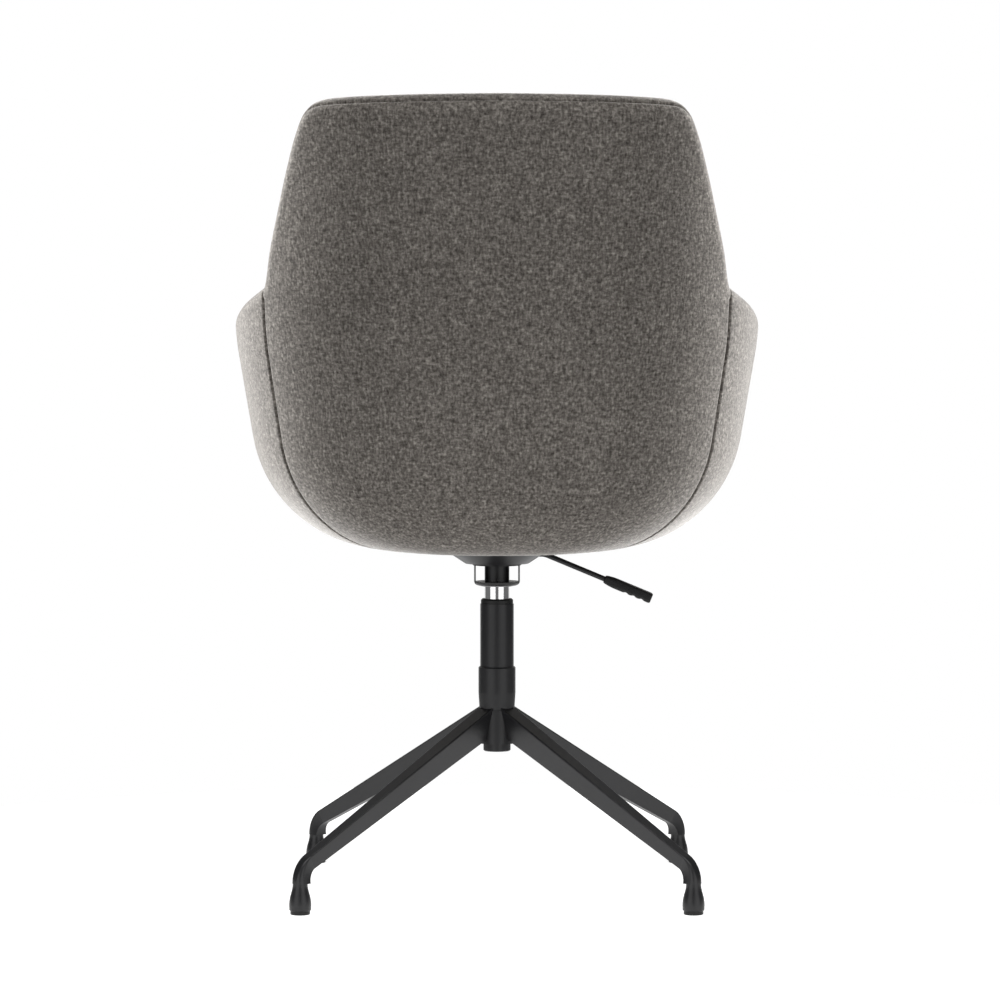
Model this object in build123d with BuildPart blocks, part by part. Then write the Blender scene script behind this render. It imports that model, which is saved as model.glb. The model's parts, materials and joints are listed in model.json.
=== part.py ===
"""Swivel tub chair on a four-leg base: +Z up, +Y to the back of the chair, origin on the floor
under the swivel axis. All sizes are in millimetres."""
from build123d import *
import os
from math import cos, radians, sin, sqrt, tan

os.makedirs("parts", exist_ok=True)

# --- Base -----------------------------------------------------------------------------------
FOOT_SPACING = 428.0      # centre to centre of neighbouring feet, which stand on a square
GLIDE_HEIGHT = 4.0
GLIDE_RADIUS = 10.8
FOOT_RADIUS = 12.2        # widest part of the flared foot
NECK_RADIUS = 8.2         # where the flared foot meets the elbow
FOOT_BELLY_HEIGHT = 10.0  # height of the widest part
STUD_RADIUS = 4.0         # M8 glide stud
STUD_DEPTH = 20.0         # length of the stud inside the foot
STUD_IN_GLIDE = 2.5
GLIDE_CHAMFER = 0.8
LEG_DROP = 27.5           # slope of a leg below the horizontal, in degrees
LEG_ROOT_DEPTH = 32.0     # section height, measured square to the leg
LEG_ROOT_TOP = 23.5       # width of the flat top face
LEG_ROOT_BOTTOM = 8.0
LEG_TIP_DEPTH = 16.0
LEG_TIP_TOP = 13.0
LEG_TIP_BOTTOM = 9.0
LEG_EDGE = 1.4            # rounding of the top edges
ELBOW_RADIUS = 33.0       # along the outside of the bend
ELBOW_STEPS = 4
TOP_LINE_START = 20.0     # radius at which a leg's top line leaves the hub's top edge
LEG_RISE = 2.0            # the top line starts this far above the hub
LEG_ANGLES = {"rear_left": 45, "rear_right": 135, "front_right": 225, "front_left": 315}

# --- Column: hub, sleeve, stand tube and gas spring ---------------------------------------------
HUB_BOTTOM = 165.0
HUB_HEIGHT = 38.0
TUBE_RADIUS = 19.0
TUBE_WALL = 1.5
TUBE_BELOW_HUB = 9.0
TUBE_NECK_RADIUS = 15.4   # drawn-in lower end of the stand tube
HUB_WALL = 2.0
SLEEVE_HEIGHT = 49.0
SLEEVE_WALL = 2.0
SLEEVE_EDGE = 1.2
TUBE_ABOVE_SLEEVE = 71.0
COLLAR_HEIGHT = 6.0       # flange of the guide bush on top of the stand tube
COLLAR_EDGE = 1.5
BUSH_LENGTH = 68.0
CYLINDER_RADIUS = 14.0
CYLINDER_WALL = 1.5
CHROME_SHOWN = 14.0       # cylinder between the collar and the cage at the lowest seat height
LIFT_STROKE = 80.0
ROD_RADIUS = 5.0
RUNNING_GAP = 0.05        # radial clearance of a sliding or turning fit
PLAY = 0.3                # clearance between pieces that pass each other freely
FOOT_PLATE = 3.0          # end plate of the stand tube, set in by its own thickness
WASHER_RADIUS = 13.0
WASHER_THICKNESS = 2.0
BALL_RADIUS = 2.0
BALL_CIRCLE = 9.5
BALL_COUNT = 10
BUMPER_HEIGHT = 9.0
CYLINDER_LIFT = 5.0       # gap between the bumper and the cylinder's end at the lowest height
END_CAP_LENGTH = 12.0
PISTON_LENGTH = 10.0
CLIP_THICKNESS = 1.5
CLIP_GROOVE = 0.8
CLIP_OVERHANG = 3.5       # of the clip beyond the rod

# --- Seat mechanism -----------------------------------------------------------------------------
CAGE_RADIUS = 26.0
CAGE_HEIGHT = 26.0
CAGE_WALL = 2.0
CAGE_FLOOR = 3.5
CAGE_CORNER = 5.0
CAGE_DOME = 2.0
CAGE_FLANGE = 1.5
DISH_DEPTH = 19.0
DISH_BOTTOM_RADIUS = 36.0
DISH_TOP_RADIUS = 65.0
DISH_WALL = 2.0
HEAD_ABOVE_CAGE = 3.0     # gas spring head standing in the dish
PIN_RADIUS = 4.0
PIN_SHOWN = 4.0
PIN_TRAVEL = 3.0
PIN_LENGTH = 16.0
LEVER_SLOT = 5.0          # half width of the slot that the lever leaves the dish through
SLOT_HEIGHT = 16.0
SLOT_START = 35.0         # radius at which the slot begins
PLATE_SIZE = 150.0
PLATE_CORNER = 15.0
PLATE_THICKNESS = 3.0
BOLT_SPACING = 120.0
BOLT_RADIUS = 4.0
BOLT_HEAD_RADIUS = 7.0
BOLT_HEAD_HEIGHT = 3.5

# --- Lever --------------------------------------------------------------------------------------
LEVER_RADIUS = 3.0
LEVER_PIVOT_X = -28.0
LEVER_PIN_RADIUS = 2.0
LEVER_BEND_X = -54.0
LEVER_TIP_X = -174.5
LEVER_SLOPE = 22.6        # droop of the outer lever, in degrees
GRIP_LENGTH = 57.0
GRIP_HEIGHT = 12.0
GRIP_WIDTH = 20.0
GRIP_ROUNDING = 4.0
ROD_IN_GRIP = 6.0         # the rod stops this far short of the grip's end
BRACKET_EAR = 2.5
BRACKET_WIDTH = 14.0
BRACKET_BELOW_PIN = 5.0
BOSS_WALL = 2.4
BOSS_HALF = 6.0           # half length of the lever's pivot boss

# --- Tub ----------------------------------------------------------------------------------------
TUB_HEIGHT = 501.0        # shell bottom to the crown of the back
TUB_HALF_WIDTH = 255.5    # of the sharp-edged form at the shell bottom, before the bilge rounding
TUB_REAR = 211.0
TUB_FRONT = 303.0
WIDEST_Y = -20.0
BILGE_RADIUS = 150.0
DRAFT = 9.2               # lean of the walls outwards, in degrees
REAR_CORNER = 195.0
FRONT_CORNER = 160.0
COVER = 10.0              # outer foam and cloth
SHELL_WALL = 10.0         # moulded structural shell
LINING = 30.0             # inner foam and cloth
RIM_WRAP = 12.0           # lining that rolls over the edge of the structural shell
BACK_TOP_HALF = 196.0     # half width of the back just under its top corners
BACK_ROOT_HALF = 250.5    # half width of the back where the arms begin
BACK_CORNER = 26.0
BACK_CROWN = 5.0
BACK_BULGE = 8.0          # of the back's edges outside the straight line
BACK_ROOT_RISE = 18.0     # the back's edges start this far above the arms
BACK_TOP_Y = 222.0        # where the front of the back is cut off at the top
BACK_FOOT_Y = 132.0       # where it turns down to the arms
BACK_FOOT_RISE = 30.0     # height of that turn above the arms
ARM_START_Y = 100.0       # where the arms' top edge begins
ARM_REAR = 284.0          # top of the arm above the shell bottom, at the back and at the front
ARM_FRONT = 250.0
ARM_NOSE_Y = -188.0       # where the arm begins to fall to the seat
LIP_Y = -272.0            # where that fall reaches the seat
NOSE_ROUNDING = 55.0
ARM_START_ROUNDING = 25.0
CUSHION_FRONT_CLEAR = 38.0   # from the seat's front wall to the cushion
LINING_FRONT_CLEAR = 90.0    # the lining stops this far behind the front wall
CUSHION_GAP = 1.0
SEAT_BASE = 57.0          # top of the seat foam base above the shell bottom
CUSHION = 27.0
CUSHION_EDGE = 9.0
SEAM_SLOPE = 0.637        # the two rear seams lie in upright planes through the widest line
FRONT_SEAM_SLOPE = 0.7    # and so do the two front seams
FLOOR_HALF = 95.0         # recess for the mechanism plate and the underside board
FLOOR_CORNER = 20.0
BOARD_THICKNESS = 7.0
TEE_NUT_RADIUS = 9.0
TEE_BARREL_RADIUS = 6.0
TEE_FLANGE = 1.5
THREAD_SPARE = 6.0        # bolt beyond the nut's flange

# --- Heights that follow ------------------------------------------------------------------------
hub_radius = TUBE_RADIUS + HUB_WALL
sleeve_radius = TUBE_RADIUS + SLEEVE_WALL
hub_top = HUB_BOTTOM + HUB_HEIGHT
tube_bottom = HUB_BOTTOM - TUBE_BELOW_HUB
sleeve_top = hub_top + SLEEVE_HEIGHT
tube_top = sleeve_top + TUBE_ABOVE_SLEEVE
collar_top = tube_top + COLLAR_HEIGHT
cage_bottom = collar_top + CHROME_SHOWN
cage_top = cage_bottom + CAGE_HEIGHT
head_top = cage_top + HEAD_ABOVE_CAGE
plate_bottom = cage_top + DISH_DEPTH
plate_top = plate_bottom + PLATE_THICKNESS
shell_bottom = plate_bottom
board_top = plate_top + BOARD_THICKNESS
seat_base_top = shell_bottom + SEAT_BASE
cushion_top = seat_base_top + CUSHION
tub_top = shell_bottom + TUB_HEIGHT
lever_z = head_top + PIN_SHOWN + PLAY + LEVER_RADIUS
tube_bore = TUBE_RADIUS - TUBE_WALL
cylinder_bore = CYLINDER_RADIUS - CYLINDER_WALL
foot_reach = FOOT_SPACING / sqrt(2)


def save(piece, name):
    """Labels a finished piece and writes it as parts/name.step."""
    piece.label = name
    export_step(piece, f"parts/{name}.step")


def ring(bottom, height, outer, inner):
    """A plain upright ring on the swivel axis."""
    with BuildPart() as made:
        with BuildSketch(Plane.XY.offset(bottom)):
            Circle(outer)
            Circle(inner, mode=Mode.SUBTRACT)
        extrude(amount=height)
    return made.part


# === Base =======================================================================================
def leg_plane(angle, slope, reach, height):
    """Plane square to a leg whose path drops by slope, its origin on the leg's top line."""
    outward = Vector(cos(radians(angle)), sin(radians(angle)), 0)
    along = outward * cos(radians(slope)) - Vector(0, 0, sin(radians(slope)))
    across = Vector(-sin(radians(angle)), cos(radians(angle)), 0)
    return Plane(outward * reach + Vector(0, 0, height), x_dir=across, z_dir=along)


def leg_section(top, bottom, depth, edge):
    """Keel-shaped section: flat on top, narrower and round below."""
    with BuildSketch() as made:
        Polygon((-top / 2, 0), (top / 2, 0), (bottom / 2, -depth), (-bottom / 2, -depth), align=None)
        corners = made.vertices().group_by(Axis.Y)
        fillet(corners[-1], edge)
        fillet(corners[0], bottom * 0.45)
    return made.sketch


def make_leg(angle):
    """Cast leg: tapered keel section, elbow, and flared foot drilled for the glide stud."""
    drop = radians(LEG_DROP)
    root_z = hub_top + LEG_RISE
    elbow_r = foot_reach + NECK_RADIUS - ELBOW_RADIUS
    tip_r = elbow_r + ELBOW_RADIUS * sin(drop)
    tip_z = root_z - tan(drop) * (tip_r - TOP_LINE_START)
    elbow_z = tip_z - ELBOW_RADIUS * cos(drop)
    back_r = hub_radius / 2
    back_z = root_z + tan(drop) * (TOP_LINE_START - back_r)
    foot = Plane((foot_reach * cos(radians(angle)), foot_reach * sin(radians(angle)), 0))
    with BuildPart() as leg:
        with BuildSketch(leg_plane(angle, LEG_DROP, back_r, back_z)):
            add(leg_section(LEG_ROOT_TOP, LEG_ROOT_BOTTOM, LEG_ROOT_DEPTH, LEG_EDGE))
        with BuildSketch(leg_plane(angle, LEG_DROP, tip_r, tip_z)):
            add(leg_section(LEG_TIP_TOP, LEG_TIP_BOTTOM, LEG_TIP_DEPTH, LEG_EDGE))
        loft()
        for step in range(ELBOW_STEPS + 1):
            share = step / ELBOW_STEPS
            turn = LEG_DROP + (90 - LEG_DROP) * share
            reach = elbow_r + ELBOW_RADIUS * sin(radians(turn))
            height = elbow_z + ELBOW_RADIUS * cos(radians(turn))
            neck = 2 * NECK_RADIUS
            top = LEG_TIP_TOP + (neck - LEG_TIP_TOP) * share
            bottom = LEG_TIP_BOTTOM + (neck - LEG_TIP_BOTTOM) * share
            depth = LEG_TIP_DEPTH + (neck - LEG_TIP_DEPTH) * share
            rounding = LEG_EDGE + (0.44 * neck - LEG_EDGE) * share
            with BuildSketch(leg_plane(angle, turn, reach, height)):
                add(leg_section(top, bottom, depth, rounding))
        loft()
        with BuildSketch(foot * Plane.XZ):
            with BuildLine():
                flare = Spline((NECK_RADIUS, elbow_z),
                               (NECK_RADIUS + 0.65 * (FOOT_RADIUS - NECK_RADIUS),
                                elbow_z - 0.55 * (elbow_z - FOOT_BELLY_HEIGHT)),
                               (FOOT_RADIUS, FOOT_BELLY_HEIGHT), tangents=((0, -1), (0, -1)))
                Polyline(flare @ 1, (FOOT_RADIUS - 0.2, GLIDE_HEIGHT + 1), (GLIDE_RADIUS, GLIDE_HEIGHT),
                         (0, GLIDE_HEIGHT), (0, elbow_z), flare @ 0)
            make_face()
        revolve(axis=Axis((foot.origin.X, foot.origin.Y, 0), (0, 0, 1)))
        with BuildSketch(foot.offset(GLIDE_HEIGHT)):
            Circle(STUD_RADIUS)
        extrude(amount=STUD_DEPTH, mode=Mode.SUBTRACT)
        with BuildSketch(Plane.XY.offset(tube_bottom)):
            Circle(hub_radius)
        extrude(amount=hub_top + LEG_ROOT_DEPTH, mode=Mode.SUBTRACT)
    return leg.part


def make_glide(angle):
    """Nylon glide with a socket for its stud."""
    foot = Plane((foot_reach * cos(radians(angle)), foot_reach * sin(radians(angle)), 0))
    with BuildPart() as glide:
        with BuildSketch(foot):
            Circle(GLIDE_RADIUS)
        extrude(amount=GLIDE_HEIGHT)
        chamfer(glide.edges().group_by(Axis.Z)[0], GLIDE_CHAMFER)
        with BuildSketch(foot.offset(GLIDE_HEIGHT - STUD_IN_GLIDE)):
            Circle(STUD_RADIUS)
        extrude(amount=STUD_IN_GLIDE, mode=Mode.SUBTRACT)
    return glide.part


for place, angle in LEG_ANGLES.items():
    save(make_leg(angle), f"leg_{place}")
    save(make_glide(angle), f"glide_{place}")

with BuildPart() as glide_studs:
    with BuildSketch(Plane.XY.offset(GLIDE_HEIGHT - STUD_IN_GLIDE)):
        with GridLocations(FOOT_SPACING, FOOT_SPACING, 2, 2):
            Circle(STUD_RADIUS)
    extrude(amount=STUD_IN_GLIDE + STUD_DEPTH - 1.0)
save(glide_studs.part, "glide_studs")

# Cast hub that the four legs are welded to.
with BuildPart() as base_hub:
    with BuildSketch(Plane.XY.offset(HUB_BOTTOM)):
        Circle(hub_radius)
        Circle(TUBE_RADIUS, mode=Mode.SUBTRACT)
    extrude(amount=HUB_HEIGHT)
save(base_hub.part, "base_hub")

# === Column =====================================================================================
END_HOLE = ROD_RADIUS + 0.4
plate_z = tube_bottom + FOOT_PLATE

with BuildPart() as column_tube:
    with BuildSketch(Plane.XZ):
        with BuildLine():
            inside = TUBE_NECK_RADIUS - TUBE_WALL
            Polyline((END_HOLE, plate_z), (inside, plate_z), (inside, tube_bottom),
                     (TUBE_NECK_RADIUS - 1, tube_bottom), (TUBE_NECK_RADIUS, tube_bottom + 1),
                     (TUBE_NECK_RADIUS, HUB_BOTTOM + 2), (TUBE_RADIUS, HUB_BOTTOM + 2 + TUBE_WALL),
                     (TUBE_RADIUS, tube_top), (tube_bore, tube_top),
                     (tube_bore, HUB_BOTTOM + 4 + TUBE_WALL), (inside, HUB_BOTTOM + 4),
                     (inside, plate_z + FOOT_PLATE), (END_HOLE, plate_z + FOOT_PLATE),
                     (END_HOLE, plate_z))
        make_face()
    revolve(axis=Axis.Z)
save(column_tube.part, "column_tube")

with BuildPart() as column_sleeve:
    with BuildSketch(Plane.XZ):
        with BuildLine():
            Polyline((TUBE_RADIUS, hub_top), (sleeve_radius - SLEEVE_EDGE, hub_top),
                     (sleeve_radius, hub_top + SLEEVE_HEIGHT * 0.4),
                     (sleeve_radius, sleeve_top - SLEEVE_EDGE), (sleeve_radius - SLEEVE_EDGE, sleeve_top),
                     (TUBE_RADIUS, sleeve_top), (TUBE_RADIUS, hub_top))
        make_face()
    revolve(axis=Axis.Z)
save(column_sleeve.part, "column_sleeve")

collar_radius = TUBE_RADIUS - TUBE_WALL / 2
with BuildPart() as guide_bush:
    with BuildSketch(Plane.XZ):
        with BuildLine():
            inner = CYLINDER_RADIUS + RUNNING_GAP
            Polyline((inner, tube_top - BUSH_LENGTH), (tube_bore, tube_top - BUSH_LENGTH),
                     (tube_bore, tube_top), (collar_radius, tube_top),
                     (collar_radius, collar_top - COLLAR_EDGE), (collar_radius - COLLAR_EDGE, collar_top),
                     (inner, collar_top), (inner, tube_top - BUSH_LENGTH))
        make_face()
    revolve(axis=Axis.Z)
save(guide_bush.part, "guide_bush")

# Thrust bearing on the tube's end plate: washer, balls, washer, then a rubber bumper.
race_z = plate_z + FOOT_PLATE
balls_z = race_z + WASHER_THICKNESS
upper_washer_z = balls_z + 2 * BALL_RADIUS + RUNNING_GAP
bumper_z = upper_washer_z + WASHER_THICKNESS

save(ring(race_z, WASHER_THICKNESS, WASHER_RADIUS, END_HOLE), "thrust_washer_lower")
save(ring(upper_washer_z, WASHER_THICKNESS, WASHER_RADIUS, ROD_RADIUS), "thrust_washer_upper")
save(ring(bumper_z, BUMPER_HEIGHT, WASHER_RADIUS - 1.0, ROD_RADIUS), "lift_bumper")

with BuildPart() as bearing_balls:
    with Locations((0, 0, balls_z + BALL_RADIUS)):
        with PolarLocations(BALL_CIRCLE, BALL_COUNT):
            Sphere(BALL_RADIUS)
save(bearing_balls.part, "bearing_balls")

# The piston meets the end cap at the full height of the lift.
cylinder_bottom = bumper_z + BUMPER_HEIGHT + CYLINDER_LIFT
piston_bottom = cylinder_bottom + END_CAP_LENGTH + LIFT_STROKE + PLAY
piston_top = piston_bottom + PISTON_LENGTH
clip_z = plate_z - CLIP_THICKNESS - RUNNING_GAP
rod_bottom = clip_z - CLIP_THICKNESS

with BuildPart() as piston_rod:
    with BuildSketch(Plane.XY.offset(rod_bottom)):
        Circle(ROD_RADIUS)
    extrude(amount=piston_top - rod_bottom)
    chamfer(piston_rod.edges().group_by(Axis.Z)[0], CLIP_GROOVE / 2)
    add(ring(clip_z, CLIP_THICKNESS, ROD_RADIUS, ROD_RADIUS - CLIP_GROOVE), mode=Mode.SUBTRACT)
save(piston_rod.part, "piston_rod")
save(ring(piston_bottom, PISTON_LENGTH, cylinder_bore - RUNNING_GAP, ROD_RADIUS), "piston_head")
save(ring(clip_z, CLIP_THICKNESS, ROD_RADIUS + CLIP_OVERHANG, ROD_RADIUS - CLIP_GROOVE), "rod_clip")

save(ring(cylinder_bottom, cage_bottom - cylinder_bottom, CYLINDER_RADIUS, cylinder_bore),
     "gas_cylinder")
save(ring(cylinder_bottom, END_CAP_LENGTH, cylinder_bore, ROD_RADIUS + RUNNING_GAP),
     "cylinder_end_cap")

# Head of the gas spring, held by the cage and the dish, with the release pin in its end.
with BuildPart() as cylinder_head:
    with BuildSketch(Plane.XY.offset(cage_bottom)):
        Circle(CYLINDER_RADIUS)
    extrude(amount=head_top - cage_bottom)
    chamfer(cylinder_head.edges().group_by(Axis.Z)[-1], 1.0)
    with BuildSketch(Plane.XY.offset(head_top + PIN_SHOWN - PIN_LENGTH - PIN_TRAVEL - 1.0)):
        Circle(PIN_RADIUS + RUNNING_GAP)
    extrude(amount=PIN_LENGTH + PIN_TRAVEL, mode=Mode.SUBTRACT)
save(cylinder_head.part, "cylinder_head")

with BuildPart() as release_pin:
    with BuildSketch(Plane.XY.offset(head_top + PIN_SHOWN - PIN_LENGTH)):
        Circle(PIN_RADIUS)
    extrude(amount=PIN_LENGTH)
    chamfer(release_pin.edges().group_by(Axis.Z)[-1], 0.6)
save(release_pin.part, "release_pin")

# === Seat mechanism =============================================================================
with BuildPart() as socket_cage:
    with BuildSketch(Plane.XZ):
        with BuildLine():
            bore = CYLINDER_RADIUS
            inside = CAGE_RADIUS - CAGE_WALL
            outer_floor = cage_bottom + CAGE_DOME
            FilletPolyline((bore, cage_bottom), (bore + 3, cage_bottom), (CAGE_RADIUS, outer_floor),
                           (CAGE_RADIUS, cage_top - CAGE_WALL), radius=CAGE_CORNER)
            Polyline((CAGE_RADIUS, cage_top - CAGE_WALL),
                     (CAGE_RADIUS + CAGE_FLANGE, cage_top - CAGE_WALL),
                     (CAGE_RADIUS + CAGE_FLANGE, cage_top), (bore, cage_top),
                     (bore, cage_top - CAGE_WALL), (inside, cage_top - CAGE_WALL))
            FilletPolyline((inside, cage_top - CAGE_WALL), (inside, outer_floor + CAGE_FLOOR),
                           (bore, outer_floor + CAGE_FLOOR), radius=CAGE_CORNER - CAGE_WALL)
            Line((bore, outer_floor + CAGE_FLOOR), (bore, cage_bottom))
        make_face()
    revolve(axis=Axis.Z)
    window = CAGE_HEIGHT - CAGE_WALL - CAGE_FLOOR - CAGE_DOME
    with Locations((0, 0, cage_bottom + CAGE_DOME + CAGE_FLOOR + window / 2)):
        Box(2 * inside, 3 * CAGE_RADIUS, window, mode=Mode.SUBTRACT)
save(socket_cage.part, "socket_cage")

with BuildPart() as mechanism_dish:
    with BuildSketch(Plane.XZ):
        with BuildLine():
            Polyline((CYLINDER_RADIUS, cage_top), (DISH_BOTTOM_RADIUS, cage_top),
                     (DISH_TOP_RADIUS, plate_bottom), (DISH_TOP_RADIUS - 2 * DISH_WALL, plate_bottom),
                     (DISH_BOTTOM_RADIUS - DISH_WALL / 2, cage_top + DISH_WALL),
                     (CYLINDER_RADIUS, cage_top + DISH_WALL), (CYLINDER_RADIUS, cage_top))
        make_face()
    revolve(axis=Axis.Z)
    slot_length = DISH_TOP_RADIUS + PLAY - SLOT_START
    with Locations((-SLOT_START - slot_length / 2, 0, plate_bottom - SLOT_HEIGHT / 2)):
        Box(slot_length, 2 * LEVER_SLOT, SLOT_HEIGHT, mode=Mode.SUBTRACT)
save(mechanism_dish.part, "mechanism_dish")

with BuildPart() as mechanism_plate:
    with BuildSketch(Plane.XY.offset(plate_bottom)):
        RectangleRounded(PLATE_SIZE, PLATE_SIZE, PLATE_CORNER)
        with GridLocations(BOLT_SPACING, BOLT_SPACING, 2, 2):
            Circle(BOLT_RADIUS + PLAY, mode=Mode.SUBTRACT)
    extrude(amount=PLATE_THICKNESS)
save(mechanism_plate.part, "mechanism_plate")

ear_y = BOSS_HALF + PLAY + BRACKET_EAR / 2
ear_depth = plate_bottom - lever_z + BRACKET_BELOW_PIN
with BuildPart() as lever_bracket:
    with BuildSketch(Plane.XY.offset(plate_bottom)):
        with Locations((LEVER_PIVOT_X, ear_y), (LEVER_PIVOT_X, -ear_y)):
            Rectangle(BRACKET_WIDTH, BRACKET_EAR)
    extrude(amount=-ear_depth)
    with Locations(Plane((LEVER_PIVOT_X, 0, lever_z), z_dir=(0, 1, 0))):
        Cylinder(LEVER_PIN_RADIUS, 4 * ear_y, mode=Mode.SUBTRACT)
save(lever_bracket.part, "lever_bracket")

with BuildPart() as lever_pivot_pin:
    with Locations(Plane((LEVER_PIVOT_X, 0, lever_z), z_dir=(0, 1, 0))):
        Cylinder(LEVER_PIN_RADIUS, 2 * ear_y + BRACKET_EAR + 2)
save(lever_pivot_pin.part, "lever_pivot_pin")

# === Lever ======================================================================================
slope = radians(LEVER_SLOPE)
tip_z = lever_z - tan(slope) * (LEVER_BEND_X - LEVER_TIP_X)
with BuildPart() as lever_rod:
    with BuildLine() as lever_path:
        FilletPolyline((PIN_RADIUS + 2, 0, lever_z), (LEVER_BEND_X, 0, lever_z),
                       (LEVER_TIP_X + ROD_IN_GRIP, 0, tip_z + ROD_IN_GRIP * tan(slope)), radius=20)
    with BuildSketch(Plane(lever_path.line @ 0, x_dir=(0, 1, 0), z_dir=(-1, 0, 0))):
        Circle(LEVER_RADIUS)
    sweep()
    with Locations(Plane((LEVER_PIVOT_X, 0, lever_z), z_dir=(0, 1, 0))):
        Cylinder(LEVER_PIN_RADIUS + BOSS_WALL, 2 * BOSS_HALF)
        Cylinder(LEVER_PIN_RADIUS + RUNNING_GAP, 4 * BOSS_HALF, mode=Mode.SUBTRACT)
save(lever_rod.part, "lever_rod")

grip_end = Vector(LEVER_TIP_X, 0, tip_z)
along_grip = Vector(cos(slope), 0, sin(slope))
grip_plane = Plane(grip_end, x_dir=(0, 1, 0), z_dir=along_grip)
with BuildPart() as lever_grip:
    with BuildSketch(grip_plane):
        RectangleRounded(GRIP_WIDTH, GRIP_HEIGHT, GRIP_ROUNDING)
    with BuildSketch(grip_plane.offset(GRIP_LENGTH * 0.75)):
        RectangleRounded(GRIP_WIDTH * 0.85, GRIP_HEIGHT, GRIP_ROUNDING)
    with BuildSketch(grip_plane.offset(GRIP_LENGTH)):
        RectangleRounded(GRIP_WIDTH * 0.5, GRIP_HEIGHT * 0.75, GRIP_ROUNDING * 0.75)
    loft(ruled=True)
    add(lever_rod.part, mode=Mode.SUBTRACT)
save(lever_grip.part, "lever_grip")

# === Tub ========================================================================================
TRIM_MARGIN = 60.0


def tub_solid(inset, forward=0):
    """The tub's outer form, drawn in by inset, its front moved forward, as one closed solid."""
    level = shell_bottom + inset
    lean = tan(radians(DRAFT)) * inset - inset / cos(radians(DRAFT))
    rear, front = TUB_REAR + lean, -TUB_FRONT - lean - forward
    with BuildPart() as made:
        with BuildSketch(Plane.XY.offset(level)) as plan:
            with Locations((0, (rear + front) / 2)):
                Rectangle(2 * (TUB_HALF_WIDTH + lean), rear - front)
            corners = plan.vertices().group_by(Axis.Y)
            fillet(corners[-1], REAR_CORNER + lean)
            fillet(corners[0], FRONT_CORNER + lean)
        extrude(amount=tub_top + TRIM_MARGIN - level, taper=-DRAFT)
        fillet(made.edges().group_by(Axis.Z)[0], BILGE_RADIUS - inset)
    return made.part


def back_outline(inset):
    """The trimmed outline seen along Y: the tapered back over the flanks."""
    low, high = shell_bottom - TRIM_MARGIN, tub_top
    root = shell_bottom + ARM_REAR + BACK_ROOT_RISE
    corner_z = high - BACK_CROWN
    waist = ((BACK_TOP_HALF + BACK_ROOT_HALF) / 2 + BACK_BULGE, (root + corner_z) / 2)
    flank = TUB_HALF_WIDTH + 2 * TRIM_MARGIN
    with BuildSketch() as made:
        with BuildLine():
            ThreePointArc((-BACK_TOP_HALF, corner_z), (0, high), (BACK_TOP_HALF, corner_z))
            ThreePointArc((BACK_TOP_HALF, corner_z), waist, (BACK_ROOT_HALF, root))
            Polyline((BACK_ROOT_HALF, root), (flank, root), (flank, low), (-flank, low),
                     (-flank, root), (-BACK_ROOT_HALF, root))
            ThreePointArc((-BACK_ROOT_HALF, root), (-waist[0], waist[1]),
                          (-BACK_TOP_HALF, corner_z))
        make_face()
        fillet(made.vertices().filter_by(lambda v: abs(v.Y - corner_z) < 1), BACK_CORNER)
        if inset:
            offset(amount=-inset)
    return made.sketch


def side_outline(inset):
    """The trimmed outline seen along X: back, arm, nose and front lip."""
    low, high = shell_bottom - TRIM_MARGIN, tub_top + TRIM_MARGIN
    arm_rear, arm_front = shell_bottom + ARM_REAR, shell_bottom + ARM_FRONT
    behind, ahead = TUB_REAR + 3 * TRIM_MARGIN, TUB_FRONT + 3 * TRIM_MARGIN
    with BuildSketch() as made:
        Polygon((behind, low), (behind, high), (BACK_TOP_Y, high),
                (BACK_FOOT_Y, arm_rear + BACK_FOOT_RISE), (ARM_START_Y, arm_rear),
                (ARM_NOSE_Y, arm_front), (LIP_Y, seat_base_top),
                (-ahead, seat_base_top), (-ahead, low), align=None)
        nose = made.vertices().filter_by(lambda v: abs(v.X - ARM_NOSE_Y) < 1)
        fillet(nose, NOSE_ROUNDING)
        turns = made.vertices().filter_by(lambda v: ARM_START_Y - 1 < v.X < BACK_FOOT_Y + 1)
        fillet(turns, ARM_START_ROUNDING)
        if inset:
            offset(amount=-inset)
    return made.sketch


def trim(inset):
    """Everything inside both outlines."""
    reach = 2 * TUB_HALF_WIDTH
    with BuildPart() as made:
        with BuildSketch(Plane.XZ.offset(-reach)):
            add(back_outline(inset))
        extrude(amount=2 * reach)
        with BuildSketch(Plane.YZ.offset(-reach)):
            add(side_outline(inset))
        extrude(amount=2 * reach, mode=Mode.INTERSECT)
    return made.part


def prism(*corners):
    """Upright prism through the whole tub over the given plan corners."""
    with BuildPart() as made:
        with BuildSketch(Plane.XY):
            Polygon(*corners, align=None)
        extrude(amount=tub_top + TRIM_MARGIN)
    return made.part


def rear_wedge():
    """The space behind the two upright seam planes."""
    reach = 2 * TUB_HALF_WIDTH
    seam_end = WIDEST_Y + SEAM_SLOPE * reach
    return prism((0, WIDEST_Y), (reach, seam_end), (-reach, seam_end))


def side_wedge(sign):
    """The space at one side, between its rear and front seam planes."""
    reach = 2 * TUB_HALF_WIDTH
    return prism((0, WIDEST_Y), (sign * reach, WIDEST_Y + SEAM_SLOPE * reach),
                 (sign * reach, -reach), (sign * FRONT_SEAM_SLOPE * (reach + WIDEST_Y), -reach))


def front_wedge():
    """The space in front of the two front seam planes."""
    reach = 2 * TUB_HALF_WIDTH
    spread = FRONT_SEAM_SLOPE * (reach + WIDEST_Y)
    return prism((0, WIDEST_Y), (-spread, -reach), (spread, -reach))


def slab(bottom, top):
    """A wide block between two heights."""
    reach = 2 * TUB_HALF_WIDTH
    with BuildPart() as made:
        with BuildSketch(Plane.XY.offset(bottom)):
            Rectangle(2 * reach, 2 * reach)
        extrude(amount=top - bottom)
    return made.part


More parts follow.
